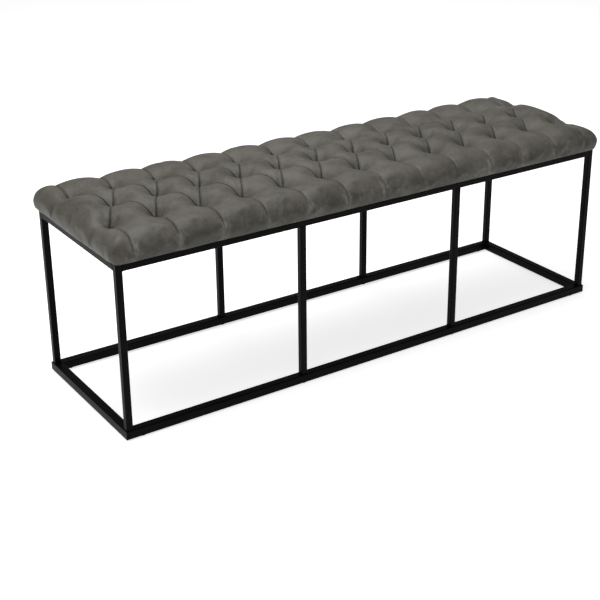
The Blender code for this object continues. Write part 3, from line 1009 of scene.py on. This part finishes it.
    def _relaxed(self, depth: Numbers, fixed: Numbers) -> Numbers:
        """Swells the leather between its folds, as tight cover over foam.

        Args:
            depth: the depth at the fixed points.
            fixed: which points hold their depth.

        Returns:
            The depth of every point.
        """
        space_x, space_y = np.diff(self.unrolled_x), np.diff(self.unrolled_y)
        left, right = (1 / space_x[:-1])[:, None], (1 / space_x[1:])[:, None]
        below, above = (1 / space_y[:-1])[None, :], (1 / space_y[1:])[None, :]
        scale_x = 2 / (space_x[:-1] + space_x[1:])[:, None]
        scale_y = 2 / (space_y[:-1] + space_y[1:])[None, :]
        beyond = ease((np.abs(self.y) - self.row) / 0.035)[1:-1, 1:-1]
        foam = 1 / (self.relax + (self.edge_relax - self.relax) * beyond) ** 2
        total = (left + right) * scale_x + (below + above) * scale_y + foam
        free = ~fixed[1:-1, 1:-1]
        checker = np.indices(free.shape).sum(0) % 2
        rest = -self.lift * ease((self.rings_above - self.ring) / 22)
        beyond_x = np.maximum(np.abs(self.x) - self.core_half[0], 0.0)
        beyond_y = np.maximum(np.abs(self.y) - self.core_half[1], 0.0)
        rest = (rest * (1 - 0.6 * ease(np.minimum(beyond_x, beyond_y) / 0.035)))[1:-1, 1:-1]
        solved = depth.copy()
        inner = solved[1:-1, 1:-1]
        for _ in range(260):
            for colour in (0, 1):
                pull = (left * solved[:-2, 1:-1] + right * solved[2:, 1:-1]) * scale_x
                pull += (below * solved[1:-1, :-2] + above * solved[1:-1, 2:]) * scale_y
                target = (pull + foam * rest) / total
                step = np.where(free & (checker == colour), target - inner, 0.0)
                inner += 1.7 * step
        return solved

    def _wrinkles(self) -> Numbers:
        """Small radial puckers round each tuft, as extra depth of each point in metres."""
        x, y = self.x, self.y
        extra = np.zeros_like(x)
        rng = np.random.default_rng(11)
        for tuft_x, tuft_y in self.tufts:
            near = np.hypot(x - tuft_x, y - tuft_y)
            angle = np.arctan2(y - tuft_y, x - tuft_x)
            count, phase, twist = rng.integers(7, 11), rng.uniform(0, 6.3), rng.uniform(-20, 20)
            wave = np.cos(count * angle + phase + twist * near)
            extra += 0.0008 * wave * ease(near / 0.008) * np.exp(-((near / 0.017) ** 2))
        return extra

    def _unevenness(self) -> Numbers:
        """Slow swells and dips that make no two cushions quite alike."""
        x, y = self.x, self.y
        slow = 0.0009 * smooth_noise(x, y, 0.070, 3) + 0.0004 * smooth_noise(x, y, 0.026, 4)
        side = ease(self.ring / 18) * (1 - ease((self.ring - self.rings_above + 8) / 8))
        return slow + 0.0007 * side * smooth_noise(x, y, 0.018, 5)

    # Pieces

    def outer_faces(self) -> list[Sequence[int]]:
        """Faces of the outer grid, each square of the core cut in two along its fold's direction."""
        columns, rows = self.x.shape
        squares = np.array(grid_faces(columns, rows)).reshape(columns - 1, rows - 1, 4)
        middle_x = (self.unrolled_x[1:] + self.unrolled_x[:-1])[:, None] / 2
        middle_y = (self.unrolled_y[1:] + self.unrolled_y[:-1])[None, :] / 2
        inside = (np.abs(middle_x) < self.end_tuft) & (np.abs(middle_y) < self.row)
        cell = np.floor((middle_x + self.end_tuft) / (self.pitch / 2)) + np.floor((middle_y + self.row) / self.row)
        rising = inside & (cell % 2 == 0)
        falling = inside & ~rising
        faces: list[Sequence[int]] = squares[~inside].tolist()
        faces += squares[rising][:, [0, 1, 2]].tolist() + squares[rising][:, [0, 2, 3]].tolist()
        faces += squares[falling][:, [0, 1, 3]].tolist() + squares[falling][:, [1, 2, 3]].tolist()
        return faces

    def layer(self, offset: float, stride: int, last_ring: int) -> tuple[Numbers, tuple[Numbers, ...]]:
        """A coarser copy of the surface, moved inwards and kept under its narrow grooves.

        Args:
            offset: how far inside the leather's outer face, in metres.
            stride: which share of the grid's lines to keep.
            last_ring: the ring where the copy ends.

        Returns:
            The grid of points, and the places in the full grid that they come from.
        """
        skip = len(self.arc) - 1 - last_ring
        columns = self._kept(len(self.unrolled_x), skip, stride)
        picked = np.ix_(columns, self._kept(len(self.unrolled_y), skip, stride))
        under = self.depth
        for _ in range(stride):
            padded = np.pad(under, 1, mode="edge")
            shifts = [padded[a : a + under.shape[0], c : c + under.shape[1]] for a in range(3) for c in range(3)]
            under = np.max(shifts, axis=0)
        under = np.where(self.ring >= self.rings_above - 1, self.depth, under)
        points = self.base - self.normal * (under + offset)[..., None] + self.shift
        return points[picked], picked

    @staticmethod
    def _kept(count: int, skip: int, stride: int) -> Numbers:
        """Indices from skip to count - skip, the ends among them."""
        last = count - 1 - skip
        kept = np.arange(skip, last + 1, stride)
        return kept if kept[-1] == last else np.append(kept, last)


def grid_faces(columns: int, rows: int, first: int = 0, flip: bool = False) -> list[tuple[int, int, int, int]]:
    """Faces of a grid of points.

    Args:
        columns: how many columns.
        rows: how many rows.
        first: the number of its first point.
        flip: whether its faces look the other way.

    Returns:
        The four points of each face.
    """
    number = np.arange(columns * rows).reshape(columns, rows) + first
    corners = [number[:-1, :-1], number[1:, :-1], number[1:, 1:], number[:-1, 1:]]
    faces = np.stack([corner.ravel() for corner in corners], 1)
    return [tuple(face) for face in (faces[:, ::-1] if flip else faces)]


def border(columns: int, rows: int, first: int = 0) -> list[int]:
    """The border of a grid of points, counter-clockwise from its first point."""
    number = np.arange(columns * rows).reshape(columns, rows) + first
    return [*number[:-1, 0], *number[-1, :-1], *number[:0:-1, -1], *number[0, :0:-1]]


def closed_shell(name: str, outer: Numbers, inner: Numbers) -> bpy.types.Object:
    """Joins two grids of the same shape into a closed shell.

    Args:
        name: the piece's name.
        outer: the outer grid of points.
        inner: the inner grid of points.

    Returns:
        The object.
    """
    columns, rows = outer.shape[:2]
    count = columns * rows
    faces = grid_faces(columns, rows) + grid_faces(columns, rows, count, flip=True)
    out_rim, in_rim = border(columns, rows), border(columns, rows, count)
    for k, (a, c) in enumerate(zip(out_rim, in_rim)):
        after = (k + 1) % len(out_rim)
        faces.append((a, c, in_rim[after], out_rim[after]))
    return mesh_object(name, np.concatenate([outer.reshape(-1, 3), inner.reshape(-1, 3)]), faces)


@dataclass
class TuftedSeat:
    """The seat's soft pieces: leather, batting and foam."""

    leather_thickness: float = 0.0012
    batting_thickness: float = 0.0035
    squeezed: float = 0.0004

    def surface(self) -> SeatSurface:
        """The leather's surface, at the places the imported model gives."""
        cover_low, cover_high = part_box("leather_cover")
        rail_end, rail_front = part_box("top_rail_right")[1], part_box("top_rail_front")[0]
        twine_low, twine_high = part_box("tufting_twine_back")
        middle_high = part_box("tufting_twine_middle")[1]
        spread = 0.002
        end_tuft = twine_high.x - spread
        pitch = end_tuft - (middle_high.x - spread)
        return SeatSurface(
            half_length=rail_end.x,
            half_depth=-rail_front.y,
            bottom=cover_low.z,
            top=cover_high.z,
            swell=cover_high.x - rail_end.x,
            pitch=2 * pitch,
            row=(twine_low.y + twine_high.y) / 2,
            end_tuft=end_tuft,
            tuft_height=twine_high.z + 0.002,
        )

    def build(self) -> SeatSurface:
        """Builds and dresses the leather, the batting and the foam.

        Returns:
            The leather's surface.
        """
        surface = self.surface()
        self._leather(surface)
        self._batting(surface)
        self._foam(surface)
        return surface

    def _leather(self, surface: SeatSurface) -> None:
        """The leather cover: a fine outer face joined to a coarser inner one at the tucked-in edge."""
        columns, rows = surface.points.shape[:2]
        stride = 4
        inner, _ = surface.layer(self.leather_thickness, stride, len(surface.arc) - 1)
        count = columns * rows
        faces: list[Sequence[int]] = surface.outer_faces()
        faces += grid_faces(*inner.shape[:2], count, flip=True)
        faces += self._rim(surface, inner.shape[:2], stride)
        points = np.concatenate([surface.points.reshape(-1, 3), inner.reshape(-1, 3)])
        obj = mesh_object("tufted_leather_cover", points, faces)
        over_y = np.maximum(np.abs(surface.y) - surface.core_half[1], 0.0)
        over_x = np.maximum(np.abs(surface.x) - surface.core_half[0], 0.0)
        front_share = over_y / np.maximum(over_x + over_y, 1e-6)
        on_front = 0.30 + 0.70 * front_share
        # Blotchy wear growing down the sides, with painted shade darkening the lower roll, strongest on the front.
        side = ease((surface.ring - 14) / 14) * on_front
        # A painted highlight along the shoulder, strongest on the front.
        sheen_band = np.exp(-(((surface.ring - 20) / 5.5) ** 2)) * on_front
        named = {
            "fold_gap": surface.fold_gap,
            "pleat_gap": surface.pleat_gap,
            "tuft_gap": surface.tuft_gap,
            "roll": side,
            "sheen_band": sheen_band,
        }
        for name, value in named.items():
            stored = np.concatenate([value.ravel(), np.ones(len(points) - count)])
            obj.data.attributes.new(name, "FLOAT", "POINT").data.foreach_set("value", stored)
        install(obj, DistressedLeather().build(), ["leather_cover"])

    @staticmethod
    def _rim(surface: SeatSurface, inner_shape: tuple[int, int], stride: int) -> list[list[int]]:
        """Faces between the outer grid's border and the coarser inner grid's border.

        Args:
            surface: the leather's surface.
            inner_shape: columns and rows of the inner grid.
            stride: how many outer steps one inner step spans.

        Returns:
            The faces.
        """
        columns, rows = surface.points.shape[:2]
        outer, inner = border(columns, rows), border(*inner_shape, columns * rows)
        steps: list[int] = []
        for count, kept in ((columns, inner_shape[0]), (rows, inner_shape[1])) * 2:
            last = count - 1 - stride * (kept - 2)
            sizes = [stride] * (kept - 2) + [last]
            steps += sizes
        # The two far sides are walked backwards, so their short step comes first.
        near = inner_shape[0] - 1 + inner_shape[1] - 1
        for start, kept in ((near, inner_shape[0] - 1), (near + inner_shape[0] - 1, inner_shape[1] - 1)):
            steps[start : start + kept] = steps[start : start + kept][::-1]
        faces, at = [], 0
        for k, size in enumerate(steps):
            ends = [outer[(at + m) % len(outer)] for m in range(size + 1)]
            faces.append([*ends[::-1], inner[k], inner[(k + 1) % len(inner)]])
            at += size
        return faces

    def _batting(self, surface: SeatSurface) -> None:
        """The batting between leather and foam, squeezed thin at each tuft."""
        last = surface.rings_above - 5
        gap = self.leather_thickness + 0.0003
        outer, picked = surface.layer(gap, 3, last)
        fullness = ease(surface.tuft_gap[picked] / 0.02)
        squeeze = self.squeezed + (self.batting_thickness - self.squeezed) * fullness
        obj = closed_shell("batting_layer", outer, outer - surface.normal[picked] * squeeze[..., None])
        dark, pale = (0.70, 0.70, 0.68), (0.90, 0.90, 0.88)
        cloth = FibreCloth("polyester_batting", dark, pale, 300.0, (1.0, 1.0, 2.0), 0.0012)
        install(obj, cloth.build(), ["batting"])

    def _foam(self, surface: SeatSurface) -> None:
        """The foam pad: it follows the tufted surface and stands flat on the board."""
        last = surface.rings_above - 8
        depth = self.leather_thickness + self.batting_thickness + 0.0006
        top, _ = surface.layer(depth, 4, last)
        base = top.copy()
        base[..., 2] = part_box("seat_board")[1].z + 0.0003
        top[..., 2] = np.maximum(top[..., 2], base[..., 2] + 0.003)
        obj = closed_shell("foam_cushion", top, base)
        install(obj, OpenFoam().build(), ["foam_pad"])


# Underside


@dataclass
class Underside:
    """The dust cover stapled under the board, and its staples."""

    sag: float = 0.0018
    staple_pitch: float = 0.048
    staple_width: float = 0.010
    wire: float = 0.0011
    inset: float = 0.007

    def build(self) -> None:
        """Builds and dresses both pieces."""
        low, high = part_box("dust_cover")
        bolts = [(sum(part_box(name), Vector()) / 2).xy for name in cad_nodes("seat_bolt_")]
        sheet = self._sheet(low, high, bolts)
        cambric = FibreCloth("black_cambric", (0.006, 0.006, 0.007), (0.020, 0.020, 0.022), 900.0, depth=0.00025)
        install(sheet, cambric.build(), ["dust_cover"])
        staples = self._staples(low, high, bolts)
        install(staples, ZincPlate(name="staple_wire", roughness=0.35).build())

    def _sheet(self, low: Vector, high: Vector, bolts: Sequence[Vector]) -> bpy.types.Object:
        """The cambric, pulled taut between its staples and pierced by the bolts.

        Args:
            low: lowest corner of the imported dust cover.
            high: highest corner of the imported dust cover.
            bolts: the bolts' places in plan.

        Returns:
            The object.
        """
        x = np.linspace(low.x, high.x, 150)
        y = np.linspace(low.y, high.y, 44)
        grid_x, grid_y = np.meshgrid(x, y, indexing="ij")
        edge = np.minimum(np.minimum(grid_x - low.x, high.x - grid_x), np.minimum(grid_y - low.y, high.y - grid_y))
        bolt_gap = np.min([np.hypot(grid_x - b.x, grid_y - b.y) for b in bolts], axis=0)
        loose = ease((edge - self.inset) / 0.07) * ease((bolt_gap - 0.02) / 0.04)
        drop = loose * (self.sag + 0.0007 * smooth_noise(grid_x, grid_y, 0.05, 21))
        scallop = np.cos(2 * math.pi * (grid_x + grid_y) / self.staple_pitch)
        drop += 0.0004 * scallop * np.exp(-((edge - 0.02) / 0.015) ** 2) * ease((bolt_gap - 0.02) / 0.03)
        upper = np.stack([grid_x, grid_y, high.z - np.maximum(drop, 0.0)], -1)
        lower = upper - (0, 0, high.z - low.z)
        obj = closed_shell("cambric_dust_cover", upper, lower)
        pierce = bmesh.new()
        for bolt in bolts:
            place = Matrix.Translation((bolt.x, bolt.y, high.z))
            bmesh.ops.create_cone(
                pierce, cap_ends=True, segments=24, radius1=0.0042, radius2=0.0042, depth=0.02, matrix=place
            )
        return cut_out(obj, pierce)

    def _staples(self, low: Vector, high: Vector, bolts: Sequence[Vector]) -> bpy.types.Object:
        """Wire staples along the dust cover's edge, left out where a tab is."""
        places = []
        for side in (-1, 1):
            for x in np.arange(low.x + 0.03, high.x - 0.02, self.staple_pitch):
                y = (high.y if side > 0 else low.y) - side * self.inset
                places.append((x, y, 0.0))
            for y in np.arange(low.y + 0.03, high.y - 0.02, self.staple_pitch):
                x = (high.x if side > 0 else low.x) - side * self.inset
                places.append((x, y, math.pi / 2))
        shape = bmesh.new()
        for x, y, turn in places:
            if min(math.hypot(x - bolt.x, y - bolt.y) for bolt in bolts) > 0.026:
                self._staple(shape, x, y, low.z, turn)
        return shape_object("dust_cover_staples", shape)

    def _staple(self, shape: bmesh.types.BMesh, x: float, y: float, height: float, turn: float) -> None:
        """One staple: a flattened crown with its two legs bent up into the board."""
        half, reach = self.staple_width / 2, self.wire
        route = [(-half, 0.004), (-half, 0.0), (-half + reach, -reach * 0.55), (half - reach, -reach * 0.55)]
        route += [(half, 0.0), (half, 0.004)]
        matrix = Matrix.Translation((x, y, height)) @ Matrix.Rotation(turn, 4, "Z")
        rings = []
        for k, (along, rise) in enumerate(route):
            before, after = Vector(route[max(k - 1, 0)]), Vector(route[min(k + 1, len(route) - 1)])
            run = (after - before).normalized()
            ring = []
            for step in range(8):
                angle = math.pi * step / 4
                side, lift = math.cos(angle) * self.wire / 2, math.sin(angle) * self.wire * 0.3
                point = Vector((along - run.y * lift, side, rise + run.x * lift))
                ring.append(shape.verts.new(matrix @ point))
            rings.append(ring)
        for first, second in zip(rings, rings[1:]):
            for k in range(8):
                shape.faces.new((first[k], first[(k + 1) % 8], second[(k + 1) % 8], second[k]))
        shape.faces.new(rings[0][::-1])
        shape.faces.new(rings[-1])


def cut_out(obj: bpy.types.Object, cutter: bmesh.types.BMesh) -> bpy.types.Object:
    """Cuts a cutter out of an object for good."""
    tool = shape_object("cutter", cutter, smooth=False)
    boolean = obj.modifiers.new("cut", "BOOLEAN")
    boolean.operation, boolean.solver, boolean.object = "DIFFERENCE", "EXACT", tool
    bpy.context.view_layer.update()
    shaped = bpy.data.meshes.new_from_object(obj.evaluated_get(bpy.context.evaluated_depsgraph_get()))
    obj.modifiers.clear()
    obj.data = shaped
    bpy.data.objects.remove(tool)
    return obj


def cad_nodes(start: str) -> list[str]:
    """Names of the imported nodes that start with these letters."""
    return [part["node"] for part in FRAME["record"]["subparts"] if part["node"].startswith(start)]


# The frame


@dataclass
class WeldBeads:
    """Small fillets of weld where tubes meet at a shoulder."""

    size: float = 0.0016
    ripple: float = 0.00012

    def build(self, coat: bpy.types.Material) -> None:
        """Lays a bead round each upright's foot, and under the top rails."""
        shape = bmesh.new()
        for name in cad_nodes("leg_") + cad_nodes("post_"):
            low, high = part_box(name)
            self._round(shape, low, high, low.z - 0.0003, 1.0)
        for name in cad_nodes("post_"):
            low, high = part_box(name)
            self._sides(shape, low, high, high.z + 0.0003)
        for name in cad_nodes("top_rail_"):
            self._butts(shape, *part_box(name))
        install(shape_object("weld_beads", shape), coat)

    def _round(self, shape: bmesh.types.BMesh, low: Vector, high: Vector, level: float, up: float) -> None:
        """Beads on the four sides of an upright's end."""
        corners = [(low.x, low.y), (high.x, low.y), (high.x, high.y), (low.x, high.y)]
        for k, start in enumerate(corners):
            end = corners[(k + 1) % 4]
            run = Vector((end[0] - start[0], end[1] - start[1], 0)).normalized()
            out = Vector((run.y, -run.x, 0))
            self._bead(shape, Vector((*start, level)), Vector((*end, level)), out, Vector((0, 0, up)))

    def _sides(self, shape: bmesh.types.BMesh, low: Vector, high: Vector, level: float) -> None:
        """Beads on the two sides of a post's head, under the top rail."""
        for x, out in ((low.x, -1), (high.x, 1)):
            start, end = Vector((x, low.y + 0.002, level)), Vector((x, high.y - 0.002, level))
            self._bead(shape, start, end, Vector((out, 0, 0)), Vector((0, 0, -1)))

    def _butts(self, shape: bmesh.types.BMesh, low: Vector, high: Vector) -> None:
        """Beads under a top rail where its ends meet the legs."""
        along_x = high.x - low.x > high.y - low.y
        for end in (-1, 1):
            run = Vector((end, 0, 0)) if along_x else Vector((0, end, 0))
            face = (high.x if end > 0 else low.x) if along_x else (high.y if end > 0 else low.y)
            face += end * 0.0003
            if along_x:
                start, stop = Vector((face, low.y + 0.002, low.z)), Vector((face, high.y - 0.002, low.z))
            else:
                start, stop = Vector((low.x + 0.002, face, low.z)), Vector((high.x - 0.002, face, low.z))
            self._bead(shape, start, stop, -run, Vector((0, 0, -1)))

    def _bead(self, shape: bmesh.types.BMesh, start: Vector, end: Vector, out: Vector, up: Vector) -> None:
        """One fillet.

        Args:
            shape: the mesh to add it to.
            start: where the corner between the two faces starts.
            end: where it ends.
            out: along the first face, away from the corner.
            up: along the second face, away from the corner.
        """
        steps = max(4, round((end - start).length / 0.0012))
        rings = []
        for k in range(steps + 1):
            at = start.lerp(end, k / steps)
            taper = min(1.0, 0.45 + min(k, steps - k) * 0.3)
            size = (self.size + self.ripple * math.cos(k * math.pi)) * taper
            inner = -0.0002
            ring = [at + out * inner + up * inner]
            for turn in (0.0, 0.25, 0.5, 0.75, 1.0):
                angle = turn * math.pi / 2
                ring.append(at + out * (size * math.cos(angle) ** 1.4) + up * (size * math.sin(angle) ** 1.4))
            rings.append([shape.verts.new(point) for point in ring])
        turned = (end - start).cross(out).dot(up) < 0
        for first, second in zip(rings, rings[1:]):
            for k in range(len(first)):
                face = (first[k], first[(k + 1) % len(first)], second[(k + 1) % len(first)], second[k])
                shape.faces.new(face[::-1] if turned else face)
        shape.faces.new(rings[0] if turned else rings[0][::-1])
        shape.faces.new(rings[-1][::-1] if turned else rings[-1])


@dataclass
class MetalFrame:
    """The welded frame, its fasteners, glides, board and twine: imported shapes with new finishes."""

    def build(self) -> None:
        """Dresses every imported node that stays, and adds the welds."""
        coat = PowderCoat().build()
        dark, pale = (0.42, 0.35, 0.22), (0.70, 0.62, 0.44)
        twine = FibreCloth("waxed_twine", dark, pale, 1800.0, (1.0, 1.0, 0.3), 0.00015, 0.7)
        finishes: dict[str, bpy.types.Material] = {
            "base_rail_": coat,
            "leg_": coat,
            "post_": coat,
            "top_rail_": coat,
            "seat_tab_": coat,
            "seat_bolt_": ZincPlate().build(),
            "threaded_insert_": ZincPlate(name="insert_zinc", roughness=0.36).build(),
            "glide_": BlackNylon().build(),
            "seat_board": Plywood().build(),
            "tufting_twine_": twine.build(),
        }
        for start, finish in finishes.items():
            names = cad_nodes(start)
            for name in names:
                slots = FRAME["nodes"][name].material_slots
                for slot in slots:
                    slot.material = finish
            LOG.info("%s: %d packed pieces", start.rstrip("_"), len(names))
        WeldBeads().build(coat)


# Studio


@dataclass(frozen=True)
class Lamp:
    """One soft rectangular light."""

    name: str
    place: tuple[float, float, float]
    target: tuple[float, float, float]
    size: tuple[float, float]
    power: float

    def build(self) -> None:
        """Hangs the light and aims it."""
        data = bpy.data.lights.new(self.name, "AREA")
        data.shape = "RECTANGLE"
        data.size, data.size_y = self.size
        data.energy = self.power
        obj = bpy.data.objects.new(self.name, data)
        obj.location = self.place
        aim = Vector(self.target) - obj.location
        obj.rotation_euler = aim.to_track_quat("-Z", "Y").to_euler()
        bpy.context.scene.collection.objects.link(obj)


@dataclass
class Studio:
    """A pale floor, soft light and the camera."""

    camera_place: tuple[float, float, float] = (-1.5891, -2.2785, 1.3549)
    yaw: float = 0.6215
    pitch: float = 0.3937
    roll: float = 0.0068
    lens: float = 75.27
    shift: tuple[float, float] = (-0.0831, -0.0783)
    sky: float = 0.28
    lamps: tuple[Lamp, ...] = (
        Lamp("overhead_softbox", (-0.3, 0.35, 2.7), (0.0, 0.0, 0.4), (2.6, 1.8), 66.0),
        Lamp("left_softbox", (-2.7, 0.3, 1.6), (0.0, 0.0, 0.4), (1.6, 1.4), 6.0),
    )

    def build(self) -> None:
        """Builds the floor, the lights and the camera."""
        self._floor()
        self._sky()
        for lamp in self.lamps:
            lamp.build()
        self._camera()
        settings = bpy.context.scene.view_settings
        settings.view_transform, settings.look = "Standard", "None"

    def _floor(self) -> None:
        """A wide floor under the glides."""
        half = 9.0
        corners = [(-half, -half, 0), (half, -half, 0), (half, half, 0), (-half, half, 0)]
        floor = mesh_object("studio_floor", np.array(corners, float), [(0, 1, 2, 3)], smooth=False)
        floor.data.materials.append(PaleFloor().build())

    def _sky(self) -> None:
        """Even white surroundings."""
        world = bpy.data.worlds.new("studio_surroundings")
        world.use_nodes = True
        background = world.node_tree.nodes["Background"]
        background.inputs["Color"].default_value = (1.0, 1.0, 1.0, 1.0)
        background.inputs["Strength"].default_value = self.sky
        bpy.context.scene.world = world

    def _camera(self) -> None:
        """The camera, looking down along the bench from its front left."""
        ahead = Vector(
            (
                math.sin(self.yaw) * math.cos(self.pitch),
                math.cos(self.yaw) * math.cos(self.pitch),
                -math.sin(self.pitch),
            )
        )
        level = Vector((math.cos(self.yaw), -math.sin(self.yaw), 0.0))
        upright = level.cross(ahead)
        right = level * math.cos(self.roll) + upright * math.sin(self.roll)
        up = upright * math.cos(self.roll) - level * math.sin(self.roll)
        data = bpy.data.cameras.new("studio_camera")
        data.lens, data.sensor_width, data.sensor_fit = self.lens, 36.0, "HORIZONTAL"
        data.shift_x, data.shift_y = self.shift
        camera = bpy.data.objects.new("studio_camera", data)
        turned = Matrix((right, up, -ahead)).transposed().to_4x4()
        camera.matrix_world = Matrix.Translation(self.camera_place) @ turned
        bpy.context.scene.collection.objects.link(camera)
        bpy.context.scene.camera = camera


def main() -> None:
    """Builds the bench's looks in order."""
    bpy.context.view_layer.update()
    MetalFrame().build()
    TuftedSeat().build()
    Underside().build()
    Studio().build()


if __name__ == "__main__":
    logging.basicConfig(level=logging.INFO, format="%(message)s")
    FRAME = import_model()
    main()
